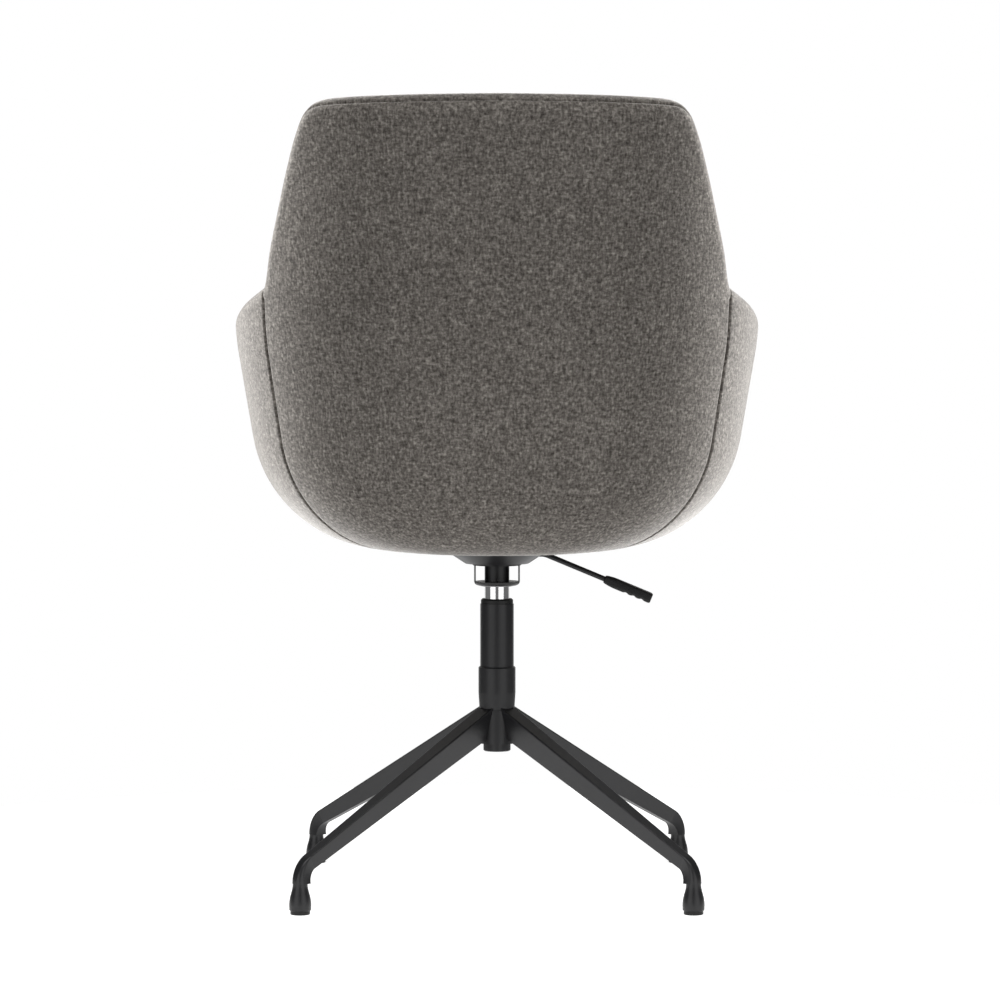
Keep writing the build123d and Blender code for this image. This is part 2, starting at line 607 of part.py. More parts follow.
def floor_block(bottom, top, drilled=True):
    """Rounded block over the mechanism plate, drilled for the seat bolts."""
    with BuildPart() as made:
        with BuildSketch(Plane.XY.offset(bottom)):
            RectangleRounded(2 * FLOOR_HALF, 2 * FLOOR_HALF - FLOOR_CORNER, FLOOR_CORNER)
            if drilled:
                with GridLocations(BOLT_SPACING, BOLT_SPACING, 2, 2):
                    Circle(BOLT_RADIUS + PLAY, mode=Mode.SUBTRACT)
        extrude(amount=top - bottom)
    return made.part


outer_form = tub_solid(0)
shell_outside = tub_solid(COVER)
shell_inside = tub_solid(COVER + SHELL_WALL)
lining_inside = tub_solid(COVER + SHELL_WALL + LINING, forward=LINING_FRONT_CLEAR)
cushion_form = tub_solid(COVER + SHELL_WALL + LINING + CUSHION_GAP, forward=CUSHION_FRONT_CLEAR)
edge = trim(0)
shell_edge = trim(RIM_WRAP)
wedge = rear_wedge()
sides = {"left": side_wedge(1), "right": side_wedge(-1)}
recess = floor_block(shell_bottom - TRIM_MARGIN, board_top, drilled=False)

with BuildPart() as seat_shell:
    add(shell_outside)
    add(shell_inside, mode=Mode.SUBTRACT)
    add(shell_edge, mode=Mode.INTERSECT)
    with BuildSketch(Plane.XY.offset(shell_bottom)):
        with GridLocations(BOLT_SPACING, BOLT_SPACING, 2, 2):
            Circle(TEE_BARREL_RADIUS)
    extrude(amount=SEAT_BASE, mode=Mode.SUBTRACT)
save(seat_shell.part, "seat_shell")

with BuildPart() as cover_layer:
    add(outer_form)
    add(shell_outside, mode=Mode.SUBTRACT)
    add(edge, mode=Mode.INTERSECT)
    add(recess, mode=Mode.SUBTRACT)

with BuildPart() as outer_back_pad:
    add(cover_layer.part)
    add(wedge, mode=Mode.INTERSECT)
save(outer_back_pad.part, "outer_back_pad")

for side, space in sides.items():
    with BuildPart() as outer_side_pad:
        add(cover_layer.part)
        add(space, mode=Mode.INTERSECT)
    save(outer_side_pad.part, f"outer_side_pad_{side}")

with BuildPart() as outer_front_pad:
    add(cover_layer.part)
    add(front_wedge(), mode=Mode.INTERSECT)
save(outer_front_pad.part, "outer_front_pad")

save(floor_block(plate_top, board_top), "underside_board")

with BuildPart() as lining_layer:
    add(shell_outside)
    add(lining_inside, mode=Mode.SUBTRACT)
    add(edge, mode=Mode.INTERSECT)
    add(slab(seat_base_top, tub_top + TRIM_MARGIN), mode=Mode.INTERSECT)
    add(seat_shell.part, mode=Mode.SUBTRACT)

with BuildPart() as back_lining:
    add(lining_layer.part)
    add(wedge, mode=Mode.INTERSECT)
save(back_lining.part, "back_lining")

for side, space in sides.items():
    with BuildPart() as arm_lining:
        add(lining_layer.part)
        add(space, mode=Mode.INTERSECT)
    save(arm_lining.part, f"arm_lining_{side}")

with BuildPart() as seat_foam_base:
    add(shell_inside)
    add(slab(shell_bottom, seat_base_top), mode=Mode.INTERSECT)
    with BuildSketch(Plane.XY.offset(shell_bottom)):
        with GridLocations(BOLT_SPACING, BOLT_SPACING, 2, 2):
            Circle(TEE_NUT_RADIUS + 1)
    extrude(amount=COVER + SHELL_WALL + 2 * THREAD_SPARE, mode=Mode.SUBTRACT)
save(seat_foam_base.part, "seat_foam_base")

with BuildPart() as seat_cushion:
    add(cushion_form)
    add(slab(seat_base_top, cushion_top), mode=Mode.INTERSECT)
    fillet(seat_cushion.edges().group_by(Axis.Z)[-1], CUSHION_EDGE)
save(seat_cushion.part, "seat_cushion")

# === Seat fasteners =============================================================================
nut_z = shell_bottom + COVER + SHELL_WALL
bolt_length = nut_z + THREAD_SPARE - plate_bottom
with BuildPart() as seat_bolts:
    with BuildSketch(Plane.XY.offset(plate_bottom)):
        with GridLocations(BOLT_SPACING, BOLT_SPACING, 2, 2):
            Circle(BOLT_HEAD_RADIUS)
    extrude(amount=-BOLT_HEAD_HEIGHT)
    chamfer(seat_bolts.edges().group_by(Axis.Z)[0], 1.2)
    with BuildSketch(Plane.XY.offset(plate_bottom)):
        with GridLocations(BOLT_SPACING, BOLT_SPACING, 2, 2):
            Circle(BOLT_RADIUS)
    extrude(amount=bolt_length)
save(seat_bolts.part, "seat_bolts")

with BuildPart() as tee_nuts:
    with BuildSketch(Plane.XY.offset(nut_z)):
        with GridLocations(BOLT_SPACING, BOLT_SPACING, 2, 2):
            Circle(TEE_NUT_RADIUS)
    extrude(amount=TEE_FLANGE)
    with BuildSketch(Plane.XY.offset(nut_z - SHELL_WALL + 1)):
        with GridLocations(BOLT_SPACING, BOLT_SPACING, 2, 2):
            Circle(TEE_BARREL_RADIUS)
    extrude(amount=SHELL_WALL - 1)
    with BuildSketch(Plane.XY.offset(shell_bottom)):
        with GridLocations(BOLT_SPACING, BOLT_SPACING, 2, 2):
            Circle(BOLT_RADIUS)
    extrude(amount=SEAT_BASE, mode=Mode.SUBTRACT)
save(tee_nuts.part, "tee_nuts")
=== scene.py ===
"""Looks of the swivel tub chair: upholstery, lever grip, materials, floor, light and camera.

Shapes are worked out in millimetres and turned to metres when a mesh is made. Lights and the
camera are placed in metres. +Z is up and +Y is the back of the chair."""
import json
import math

import bmesh
import bpy
import numpy as np
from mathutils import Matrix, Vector


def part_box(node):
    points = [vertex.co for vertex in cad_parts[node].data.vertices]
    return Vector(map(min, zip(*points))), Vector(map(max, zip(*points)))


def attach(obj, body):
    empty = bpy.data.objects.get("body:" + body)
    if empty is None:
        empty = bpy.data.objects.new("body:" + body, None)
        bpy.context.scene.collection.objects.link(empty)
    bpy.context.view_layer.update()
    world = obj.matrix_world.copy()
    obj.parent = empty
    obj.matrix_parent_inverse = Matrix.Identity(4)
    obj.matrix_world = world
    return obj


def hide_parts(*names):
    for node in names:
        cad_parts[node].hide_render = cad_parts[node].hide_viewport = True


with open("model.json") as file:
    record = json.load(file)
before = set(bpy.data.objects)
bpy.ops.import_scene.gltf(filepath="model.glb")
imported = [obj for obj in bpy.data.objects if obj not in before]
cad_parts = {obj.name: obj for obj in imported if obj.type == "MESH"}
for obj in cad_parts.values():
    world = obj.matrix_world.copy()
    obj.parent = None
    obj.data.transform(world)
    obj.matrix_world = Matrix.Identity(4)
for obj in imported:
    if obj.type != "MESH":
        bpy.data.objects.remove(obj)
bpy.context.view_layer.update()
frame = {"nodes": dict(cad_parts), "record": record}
nodes = frame["nodes"]

MM = 0.001


def node_box(name):
    """Lowest and highest corners of a CAD node, in millimetres."""
    low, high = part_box(name)
    return np.array(low) / MM, np.array(high) / MM


# ------------------------------------------------------------------------------------------
# Mesh helpers
# ------------------------------------------------------------------------------------------
def mesh_object(name, verts, faces, smooth=True):
    """Object from points in millimetres, its normals turned outwards."""
    mesh = bpy.data.meshes.new(name)
    mesh.from_pydata([tuple(np.asarray(v) * MM) for v in verts], [], faces)
    bm = bmesh.new()
    bm.from_mesh(mesh)
    loose = [v for v in bm.verts if not v.link_faces]
    bmesh.ops.delete(bm, geom=loose, context="VERTS")
    bmesh.ops.recalc_face_normals(bm, faces=bm.faces)
    bm.to_mesh(mesh)
    bm.free()
    mesh.polygons.foreach_set("use_smooth", [smooth] * len(mesh.polygons))
    obj = bpy.data.objects.new(name, mesh)
    bpy.context.collection.objects.link(obj)
    return obj


def closed_loops(name, rings, start, end):
    """Closed form from rings with equal numbers of points, capped by a point at each end."""
    size = len(rings[0])
    verts = [p for ring in rings for p in ring] + [start, end]
    faces = []
    for k in range(len(rings) - 1):
        for i in range(size):
            j = (i + 1) % size
            faces.append((k * size + i, k * size + j, (k + 1) * size + j, (k + 1) * size + i))
    first, last = len(verts) - 2, len(verts) - 1
    top = (len(rings) - 1) * size
    for i in range(size):
        j = (i + 1) % size
        faces.append((first, j, i))
        faces.append((last, top + i, top + j))
    return mesh_object(name, verts, faces)


def pchip(points, x):
    """Monotone cubic through (x, y) points, evaluated at x."""
    xs, ys = np.array(points, float).T
    x = np.asarray(x, float)
    h = np.diff(xs)
    d = np.diff(ys) / h
    m = np.zeros(len(xs))
    m[0], m[-1] = d[0], d[-1]
    for i in range(1, len(xs) - 1):
        if d[i - 1] * d[i] > 0:
            w1, w2 = 2 * h[i] + h[i - 1], h[i] + 2 * h[i - 1]
            m[i] = (w1 + w2) / (w1 / d[i - 1] + w2 / d[i])
    k = np.clip(np.searchsorted(xs, x) - 1, 0, len(h) - 1)
    t = (x - xs[k]) / h[k]
    return ((2 * t ** 3 - 3 * t ** 2 + 1) * ys[k] + (t ** 3 - 2 * t ** 2 + t) * h[k] * m[k]
            + (-2 * t ** 3 + 3 * t ** 2) * ys[k + 1] + (t ** 3 - t ** 2) * h[k] * m[k + 1])


def unit(v):
    """Vectors scaled to length one."""
    return v / np.maximum(np.linalg.norm(v, axis=-1, keepdims=True), 1e-9)


# ------------------------------------------------------------------------------------------
# Tub surface. A station is an angle in plan: 0 at the chair's left flank, 90 at the back,
# -90 at the front; the right half mirrors the left. A profile value p runs 0..1 over the flat
# bottom, 1..2 up the bilge, and on up the wall.
# ------------------------------------------------------------------------------------------
SHELL_Z = node_box("mechanism_plate")[0][2]     # underside of the tub
CLOTH_RISE = 0.6           # flat bottom of the cloth above the underside of the shell
BOTTOM_Z = SHELL_Z + CLOTH_RISE
PLATE_SEAT = 2.6           # the cloth is pressed up by this much over the mechanism plate
PLATE_EDGE, PLATE_FADE = 0.7, 0.2       # profile value where that starts to fade, and its reach
BELLY = 2.6                # the cloth hangs this much lower behind the plate
BELLY_START, BELLY_SPAN = 0.55, 0.9     # profile values between which it hangs
WIDEST_Y = -20.0
BILGE = 150.0              # height of the rounding between the bottom and the wall
BILGE_END = math.radians(81.3)
# Half width, and depth behind and in front of the widest point
FLAT_HALF, FLAT_REAR, FLAT_FRONT = 130, 156, 160
BILGE_HALF, BILGE_REAR, BILGE_FRONT = 148, 98, 138
LEAN_HALF, LEAN_REAR, LEAN_FRONT = 0.17, 0.154, 0.084       # per millimetre up the wall
STRAIGHT_RISE = 90.0       # the flanks lean out up to here and then turn upright
TURN_RISE = 35.0
REAR_POWER, FRONT_POWER = 2.4, 4.0      # squareness of the plan behind and in front

# Height at which the edge starts to roll over, by station: seat front, arm, back edge, crown.
RIM = [(-90, 431), (-58, 433), (-42, 468), (-26, 560), (-12, 614), (0, 630), (15, 645),
       (30, 662), (33, 667), (34.5, 673), (35.8, 684), (37.5, 712), (41, 754), (45.2, 806),
       (48.4, 841), (50.5, 856), (52.2, 861), (55, 862.8), (65, 864.2), (90, 865.8)]
ROLL_RADIUS = [(-90, 9), (-62, 9), (-40, 17), (-20, 20), (90, 20)]
FULL_ROLL = 20.0           # roll radius below which the lining is thinner
ROLL_RANGE = 180.0
ROLL_STEP = 7.5            # degrees between points round the roll
ROLL_FINE_REACH, ROLL_FINE_STEP = 12.0, 1.5     # closer together this near the roll's seam
LINING = 50.0              # from the outer cloth to the inner cloth, well below the edge
LINING_REACH = 90.0        # distance below the edge over which it gets that thick
DECK_RISE = 52.0           # the inner cloth goes down to here above the shell bottom
DECK_DROP = 3.0            # and at least this far below the edge

SEAM = 33.0                # station of the back panel's upright seams, outside and inside
ROLL_SEAM = 50.0           # place of its top seam on the rolled edge, in degrees round the roll
SEAM_DEPTH = 3.0
SEAM_WIDTH = 1.7
SEAM_SHARPNESS = 1.6
SEAM_START = 0.3           # profile value from which the outer seams are pressed in

OUT_ROWS, IN_ROWS = 64, 46
STATION_SPANS = [(-90, 30, 2.0), (30, 31.6, 0.8), (31.6, 34.6, 0.16), (34.6, 47, 0.6),
                 (47, 54, 0.25), (54, 90.1, 2.0)]       # from, to, step
ANGLE_STEP = 0.2           # small steps that measure the surface's and the edge's direction
EDGE_STEP = 0.25
PROFILE_STEP = 0.004
PROFILE_MIN = 0.001


def outer(phi, p):
    """Point of the outer cloth at a station and a profile value."""
    phi, p = np.broadcast_arrays(np.asarray(phi, float), np.asarray(p, float))
    flat = np.clip(p, 0, 1)
    psi = np.clip(p - 1, 0, 1) * BILGE_END
    rise = np.clip(p - 2, 0, None) * BILGE
    over = np.clip(rise - STRAIGHT_RISE, 0, None)
    lean = LEAN_HALF * (np.minimum(rise, STRAIGHT_RISE) + TURN_RISE * (1 - np.exp(-over / TURN_RISE)))
    half = FLAT_HALF * flat + BILGE_HALF * np.sin(psi) + lean
    rear = FLAT_REAR * flat + BILGE_REAR * np.sin(psi) + LEAN_REAR * rise
    front = FLAT_FRONT * flat + BILGE_FRONT * np.sin(psi) + LEAN_FRONT * rise
    c, s = np.cos(np.radians(phi)), np.sin(np.radians(phi))
    power = 2 / np.where(s > 0, REAR_POWER, FRONT_POWER)
    depth = np.where(s > 0, rear, front)
    x = half * np.sign(c) * np.abs(c) ** power
    y = WIDEST_Y + depth * np.sign(s) * np.abs(s) ** power
    pressed = PLATE_SEAT * (1 - np.clip((p - PLATE_EDGE) / PLATE_FADE, 0, 1))
    hang = np.sin(np.pi * np.clip((p - BELLY_START) / BELLY_SPAN, 0, 1))
    behind = np.clip(s, 0, 1) ** 2 * hang
    z = BOTTOM_Z + pressed - BELLY * behind + BILGE * (1 - np.cos(psi)) + rise
    return np.stack([x, y, z], -1)


def p_of_z(z):
    """Profile value that reaches a height above the flat bottom."""
    z = np.asarray(z, float)
    wall_z = BOTTOM_Z + BILGE * (1 - math.cos(BILGE_END))
    up = np.clip((z - BOTTOM_Z) / BILGE, 0, 1 - math.cos(BILGE_END))
    return np.where(z > wall_z, 2 + (z - wall_z) / BILGE, 1 + np.arccos(1 - up) / BILGE_END)


def rim_point(phi):
    """Where the outer cloth starts to roll over the edge."""
    return outer(phi, p_of_z(pchip(RIM, phi)))


def normal(phi, p):
    """Outward normal of the outer cloth."""
    du = outer(phi + ANGLE_STEP, p) - outer(phi - ANGLE_STEP, p)
    dv = outer(phi, p + PROFILE_STEP) - outer(phi, np.maximum(p - PROFILE_STEP, PROFILE_MIN))
    return unit(np.cross(du, dv))


def stations():
    """Stations of one half, closer together at the seam and where the edge turns."""
    spans = [np.arange(*span) for span in STATION_SPANS]
    return np.unique(np.round(np.concatenate(spans), 3))


def roll_angles():
    """Angles round the rolled edge, closer together at its seam."""
    even = np.arange(ROLL_STEP, ROLL_RANGE + 0.1, ROLL_STEP)
    near = np.arange(ROLL_SEAM - ROLL_FINE_REACH, ROLL_SEAM + ROLL_FINE_REACH + 0.1, ROLL_FINE_STEP)
    return np.unique(np.round(np.concatenate([even, near]), 3))


def groove(distance):
    """Depth of a seam at a distance from it."""
    return SEAM_DEPTH * np.exp(-(np.abs(distance) / SEAM_WIDTH) ** SEAM_SHARPNESS)


def tub_column(phi, angles):
    """One station's points: up the outside, round the rolled edge, and down the inside."""
    top = p_of_z(pchip(RIM, phi))
    p = top * np.linspace(0, 1, OUT_ROWS)
    outside = outer(phi, p)
    away = np.linalg.norm(outside - outer(SEAM, p), axis=-1)
    outside = outside - normal(phi, p) * (groove(away) * (p > SEAM_START))[:, None]

    base, n0 = rim_point(phi), normal(phi, top)
    along = rim_point(min(phi + EDGE_STEP, 90)) - rim_point(max(phi - EDGE_STEP, -90))
    up = unit(np.cross(n0, along))
    radius = float(pchip(ROLL_RADIUS, phi))
    turn = np.radians(angles)[:, None]
    ray = np.sin(turn) * up + np.cos(turn) * n0
    from_upright = groove(np.linalg.norm(base - rim_point(SEAM))) * (angles < ROLL_SEAM)
    from_top = groove(np.radians(angles - ROLL_SEAM) * radius) * (phi >= SEAM)
    rolled = base - radius * n0 + ray * (radius - np.maximum(from_upright, from_top))[:, None]

    end = p_of_z(np.minimum(SHELL_Z + DECK_RISE, pchip(RIM, phi) - DECK_DROP))
    q = top + (end - top) * np.linspace(0, 1, IN_ROWS)[1:]
    backing, n1 = outer(phi, q), normal(phi, q)
    down = np.linalg.norm(backing - base, axis=-1)
    fill = (1 - np.exp(-(down / LINING_REACH) ** 2)) * min(1, radius / FULL_ROLL)
    thick = 2 * radius + (LINING - 2 * radius) * fill
    away = np.linalg.norm(backing - outer(SEAM, q), axis=-1)
    thick = thick - groove(away) * np.clip((down - radius) / radius, 0, 1)
    return np.concatenate([outside[1:], rolled, backing - n1 * thick[:, None]])


def build_tub():
    """The upholstered tub: outer panels, rolled edge and inner lining as one closed skin."""
    angles = roll_angles()
    half = [tub_column(phi, angles) for phi in stations()]
    mirrored = [column * np.array([-1, 1, 1]) for column in half[1:-1][::-1]]
    columns = np.array(half + mirrored)
    rings = [list(ring) for ring in columns.transpose(1, 0, 2)]
    deck = np.mean(rings[-1], axis=0)
    return closed_loops("tub_upholstery", rings, (0, WIDEST_Y, BOTTOM_Z + PLATE_SEAT), deck)


# ------------------------------------------------------------------------------------------
# Seat cushion: a loose box cushion, swollen by the cloth solver
# ------------------------------------------------------------------------------------------
SEAT_Z = node_box("seat_cushion")[0][2]         # underside of the cushion
CUSHION_CENTRE = np.array([0.0, -40.0])
CUSHION_INSET = [(-90, 16), (-66, 18), (-48, 36), (-30, 58), (90, 58)]     # by station
OUTLINE_RISE = 20.0        # height above the cushion's underside where its plan is taken
OUTLINE_STEP = 3.0         # degrees between the points of its plan
# Rings from the underside to the crown: scale of the plan, and height
CUSHION_LEVELS = [(0.25, 1.0), (0.6, 1.0), (0.9, 1.2), (0.975, 2.5), (1.0, 7.0), (1.004, 13.0),
                  (1.0, 19.0), (0.985, 24.0), (0.94, 27.0), (0.8, 29.0), (0.5, 30.5), (0.2, 31.0)]
CUSHION_CROWN = 31.2
CUSHION_VOXEL = 0.008      # metres
CUSHION_PRESSURE = 4.0
CUSHION_SWELL = 0.007      # metres, the most that a point moves
CLOTH_QUALITY = 2
SWELL_FRAMES = 12
CUSHION_REST = 0.5         # the swollen cushion goes no lower than this above its underside
BOXING_SEAMS = (8.0, 25.0)     # heights of the two seams round the cushion's side
BOXING_SHARE = 0.7         # of the depth of the tub's seams


def cushion_outline(phi):
    """Plan of the cushion: just inside the lining, and up to the seat's front edge."""
    p = p_of_z(SEAT_Z + OUTLINE_RISE)
    side = normal(phi, p)
    side[..., 2] = 0
    return (outer(phi, p) - unit(side) * float(pchip(CUSHION_INSET, phi)))[:2]


def cushion_ring(scale, height):
    """Ring of points round the cushion at a height above its underside."""
    left = [cushion_outline(phi) for phi in np.arange(-90.0, 90.1, OUTLINE_STEP)]
    right = [point * np.array([-1, 1]) for point in left[1:-1][::-1]]
    flat = [CUSHION_CENTRE + (point - CUSHION_CENTRE) * scale for point in left + right]
    return [(x, y, SEAT_Z + height) for x, y in flat]


def inflate(obj, voxel, pressure, cap, floor_z):
    """Swells a closed form with the cloth solver. No point moves further than cap."""
    remesh = obj.modifiers.new("remesh", "REMESH")
    remesh.mode = "VOXEL"
    remesh.voxel_size = voxel
    depsgraph = bpy.context.evaluated_depsgraph_get()
    obj.data = bpy.data.meshes.new_from_object(obj.evaluated_get(depsgraph))
    obj.modifiers.clear()
    rest = np.array([v.co for v in obj.data.vertices])
    cloth = obj.modifiers.new("cloth", "CLOTH")
    cloth.settings.use_pressure = True
    cloth.settings.uniform_pressure_force = pressure
    cloth.settings.effector_weights.gravity = 0
    cloth.settings.quality = CLOTH_QUALITY
    cloth.collision_settings.use_collision = False
    scene = bpy.context.scene
    for step in range(1, SWELL_FRAMES + 1):
        scene.frame_set(step)
    evaluated = obj.evaluated_get(bpy.context.evaluated_depsgraph_get())
    moved = np.array([v.co for v in evaluated.data.vertices]) - rest
    obj.modifiers.clear()
    scene.frame_set(1)
    length = np.maximum(np.linalg.norm(moved, axis=1, keepdims=True), 1e-9)
    swollen = rest + moved * np.minimum(1, cap / length)
    swollen[:, 2] = np.maximum(swollen[:, 2], floor_z)
    obj.data.vertices.foreach_set("co", swollen.ravel())
    obj.data.update()


def subdivide(obj):
    """One level of subdivision, applied."""
    smooth = obj.modifiers.new("subdivide", "SUBSURF")
    smooth.levels = 1
    depsgraph = bpy.context.evaluated_depsgraph_get()
    obj.data = bpy.data.meshes.new_from_object(obj.evaluated_get(depsgraph))
    obj.modifiers.clear()
    obj.data.polygons.foreach_set("use_smooth", [True] * len(obj.data.polygons))


def sew_boxing(obj):
    """Presses the two boxing seams into the cushion's side."""
    for vertex in obj.data.vertices:
        facing = math.hypot(vertex.normal.x, vertex.normal.y)
        height = vertex.co.z / MM - SEAT_Z
        depth = max(float(groove(height - seam)) for seam in BOXING_SEAMS)
        vertex.co -= vertex.normal * depth * BOXING_SHARE * MM * min(1, 2 * facing)
    obj.data.update()


def build_cushion():
    """The loose cushion."""
    rings = [cushion_ring(scale, height) for scale, height in CUSHION_LEVELS]
    bottom = (*CUSHION_CENTRE, SEAT_Z + CUSHION_LEVELS[0][1])
    crown = (*CUSHION_CENTRE, SEAT_Z + CUSHION_CROWN)
    obj = closed_loops("seat_cushion_cover", rings, bottom, crown)
    lowest = (SEAT_Z + CUSHION_REST) * MM
    inflate(obj, CUSHION_VOXEL, CUSHION_PRESSURE, CUSHION_SWELL, lowest)
    subdivide(obj)
    sew_boxing(obj)
    return obj


# ------------------------------------------------------------------------------------------
# Lever grip: a flat moulded paddle with finger notches under it
# ------------------------------------------------------------------------------------------
GRIP_SLOPE = math.radians(22.6)
GRIP_TIP_HALF, GRIP_ROOT_HALF = 6.0, 4.5        # half heights at its two ends
# Half width and half height, by place from the tip (0) to the root (1)
GRIP_WIDTH = [(0, 9.4), (0.03, 10.0), (0.7, 8.6), (0.95, 5.6), (1, 4.6)]
GRIP_HEIGHT = [(0, 5.3), (0.03, 6.0), (0.75, 6.0), (0.96, 4.9), (1, 4.1)]
GRIP_NOTCHES = (10.0, 19.5, 29.0)               # distances from the tip
NOTCH_DEPTH, NOTCH_WIDTH = 1.2, 2.3
GRIP_POWER = 4.0                                # squareness of the section
GRIP_SIDES = 40
GRIP_PLACES = np.concatenate([[0, 0.008], np.linspace(0.03, 0.94, 80), [0.97, 0.99, 1]])


def build_grip():
    """The paddle, from its tip up to its root on the lever rod."""
    low, high = node_box("lever_grip")
    s, c = math.sin(GRIP_SLOPE), math.cos(GRIP_SLOPE)
    tip = np.array([low[0] + GRIP_TIP_HALF * s, 0, low[2] + GRIP_TIP_HALF * c])
    root = np.array([high[0] - GRIP_ROOT_HALF * s, 0, high[2] - GRIP_ROOT_HALF * c])
    length = np.linalg.norm(root - tip)
    across, up = np.array([0, 1, 0]), np.array([-s, 0, c])
    rings = []
    for t in GRIP_PLACES:
        width, height = float(pchip(GRIP_WIDTH, t)), float(pchip(GRIP_HEIGHT, t))
        from_notches = [(t * length - at) / NOTCH_WIDTH for at in GRIP_NOTCHES]
        notch = sum(NOTCH_DEPTH * math.exp(-away ** 2) for away in from_notches)
        ring = []
        for turn in np.linspace(0, 2 * math.pi, GRIP_SIDES, endpoint=False):
            side, rise = math.cos(turn), math.sin(turn)
            y = width * math.copysign(abs(side) ** (2 / GRIP_POWER), side)
            z = height * math.copysign(abs(rise) ** (2 / GRIP_POWER), rise)
            lift = notch * max(0, -z / height)
            ring.append(tip + (root - tip) * t + across * y + up * (z + lift))
        rings.append(ring)
    return closed_loops("lever_paddle", rings, tip, root)


# ------------------------------------------------------------------------------------------
# Materials
# ------------------------------------------------------------------------------------------
def new_material(name):
    """Empty Principled material: the material, its node tree and its shader."""
    material = bpy.data.materials.new(name)
    material.use_nodes = True
    tree = material.node_tree
    tree.nodes.clear()
    out = tree.nodes.new("ShaderNodeOutputMaterial")
    shader = tree.nodes.new("ShaderNodeBsdfPrincipled")
    tree.links.new(shader.outputs["BSDF"], out.inputs["Surface"])
    return material, tree, shader


def coordinates(tree):
    """Coordinates that stay with the piece."""
    return tree.nodes.new("ShaderNodeTexCoord").outputs["Object"]


def noise(tree, coords, scale, detail=3.0, rough=0.55, stretch=None):
    """Noise texture, its grain drawn out along the axes that stretch makes small."""
    if stretch is not None:
        mapping = tree.nodes.new("ShaderNodeMapping")
        mapping.inputs["Scale"].default_value = stretch
        tree.links.new(coords, mapping.inputs["Vector"])
        coords = mapping.outputs["Vector"]
    texture = tree.nodes.new("ShaderNodeTexNoise")
    texture.inputs["Scale"].default_value = scale
    texture.inputs["Detail"].default_value = detail
    texture.inputs["Roughness"].default_value = rough
    tree.links.new(coords, texture.inputs["Vector"])
    return texture.outputs["Fac"]


def weighted(tree, *pairs):
    """Sum of textures, each times its weight."""
    total = None
    for fac, weight in pairs:
        step = tree.nodes.new("ShaderNodeMath")
        step.operation = "MULTIPLY_ADD"
        tree.links.new(fac, step.inputs[0])
        step.inputs[1].default_value = weight
        step.inputs[2].default_value = 0.0
        if total is not None:
            tree.links.new(total, step.inputs[2])
        total = step.outputs[0]
    return total


def ramp(tree, fac, *stops):
    """Colours by a texture's value."""
    node = tree.nodes.new("ShaderNodeValToRGB")
    elements = node.color_ramp.elements
    while len(elements) < len(stops):
        elements.new(1.0)
    for element, (position, colour) in zip(elements, stops):
        element.position = position
        element.color = (*colour, 1)
    tree.links.new(fac, node.inputs["Fac"])
    return node.outputs["Color"]


def bump(tree, shader, height, strength, distance):
    """Fine relief on a shader."""
    node = tree.nodes.new("ShaderNodeBump")
    node.inputs["Strength"].default_value = strength
    node.inputs["Distance"].default_value = distance
    tree.links.new(height, node.inputs["Height"])
    tree.links.new(node.outputs["Normal"], shader.inputs["Normal"])


YARN_SCALE, FLECK_SCALE, FINE_SCALE, PATCH_SCALE = 420, 300, 1100, 8
ALONG_YARN = 0.42          # scale along a yarn, next to 1 across it
WOOL_RELIEF = 0.0012


def melange_wool():
    """Heathered wool: short light and dark yarns crossing up and along the cloth."""
    material, tree, shader = new_material("melange_wool")
    coords = coordinates(tree)
    upright = noise(tree, coords, YARN_SCALE, 2.0, 0.55, (1.0, 1.0, ALONG_YARN))
    level = noise(tree, coords, YARN_SCALE, 2.0, 0.55, (ALONG_YARN, ALONG_YARN, 1.0))
    flecks = noise(tree, coords, FLECK_SCALE, 2.0, 0.6)
    fine = noise(tree, coords, FINE_SCALE, 2.0, 0.6)
    patches = noise(tree, coords, PATCH_SCALE, 2.0, 0.5)
    yarn = weighted(tree, (upright, 0.34), (level, 0.28), (flecks, 0.26), (fine, 0.08),
                    (patches, 0.04))
    colour = ramp(tree, yarn, (0.37, (0.037, 0.032, 0.029)), (0.46, (0.083, 0.075, 0.067)),
                  (0.54, (0.147, 0.134, 0.121)), (0.65, (0.290, 0.270, 0.243)))
    tree.links.new(colour, shader.inputs["Base Color"])
    shader.inputs["Roughness"].default_value = 0.95
    shader.inputs["Specular IOR Level"].default_value = 0.12
    shader.inputs["Sheen Weight"].default_value = 0.5
    shader.inputs["Sheen Roughness"].default_value = 0.35
    shader.inputs["Sheen Tint"].default_value = (1.0, 0.98, 0.95, 1)
    relief = weighted(tree, (upright, 0.35), (level, 0.35), (fine, 0.3))
    bump(tree, shader, relief, 0.6, WOOL_RELIEF)
    return material


BROAD_SCALE = 14
SHADE_RANGE = (0.85, 1.2)          # of the base colour, in broad patches
GLOSS_RANGE = (0.85, 1.15)         # of the roughness, in the grain


def finish(name, base, rough, grain, spec, metallic=0.0, depth=0.0001):
    """Paint, plastic or plated metal with a fine grain and slightly uneven colour and gloss."""
    material, tree, shader = new_material(name)
    coords = coordinates(tree)
    texture = noise(tree, coords, grain, 3.0, 0.6)
    broad = noise(tree, coords, BROAD_SCALE, 3.0, 0.5)
    dark, light = (tuple(c * k for c in base) for k in SHADE_RANGE)
    tree.links.new(ramp(tree, broad, (0.3, dark), (0.7, light)), shader.inputs["Base Color"])
    smooth, matt = ((rough * k,) * 3 for k in GLOSS_RANGE)
    gloss = ramp(tree, texture, (0.3, smooth), (0.7, matt))
    tree.links.new(gloss, shader.inputs["Roughness"])
    shader.inputs["Metallic"].default_value = metallic
    shader.inputs["Specular IOR Level"].default_value = spec
    bump(tree, shader, texture, 0.4, depth)
    return material


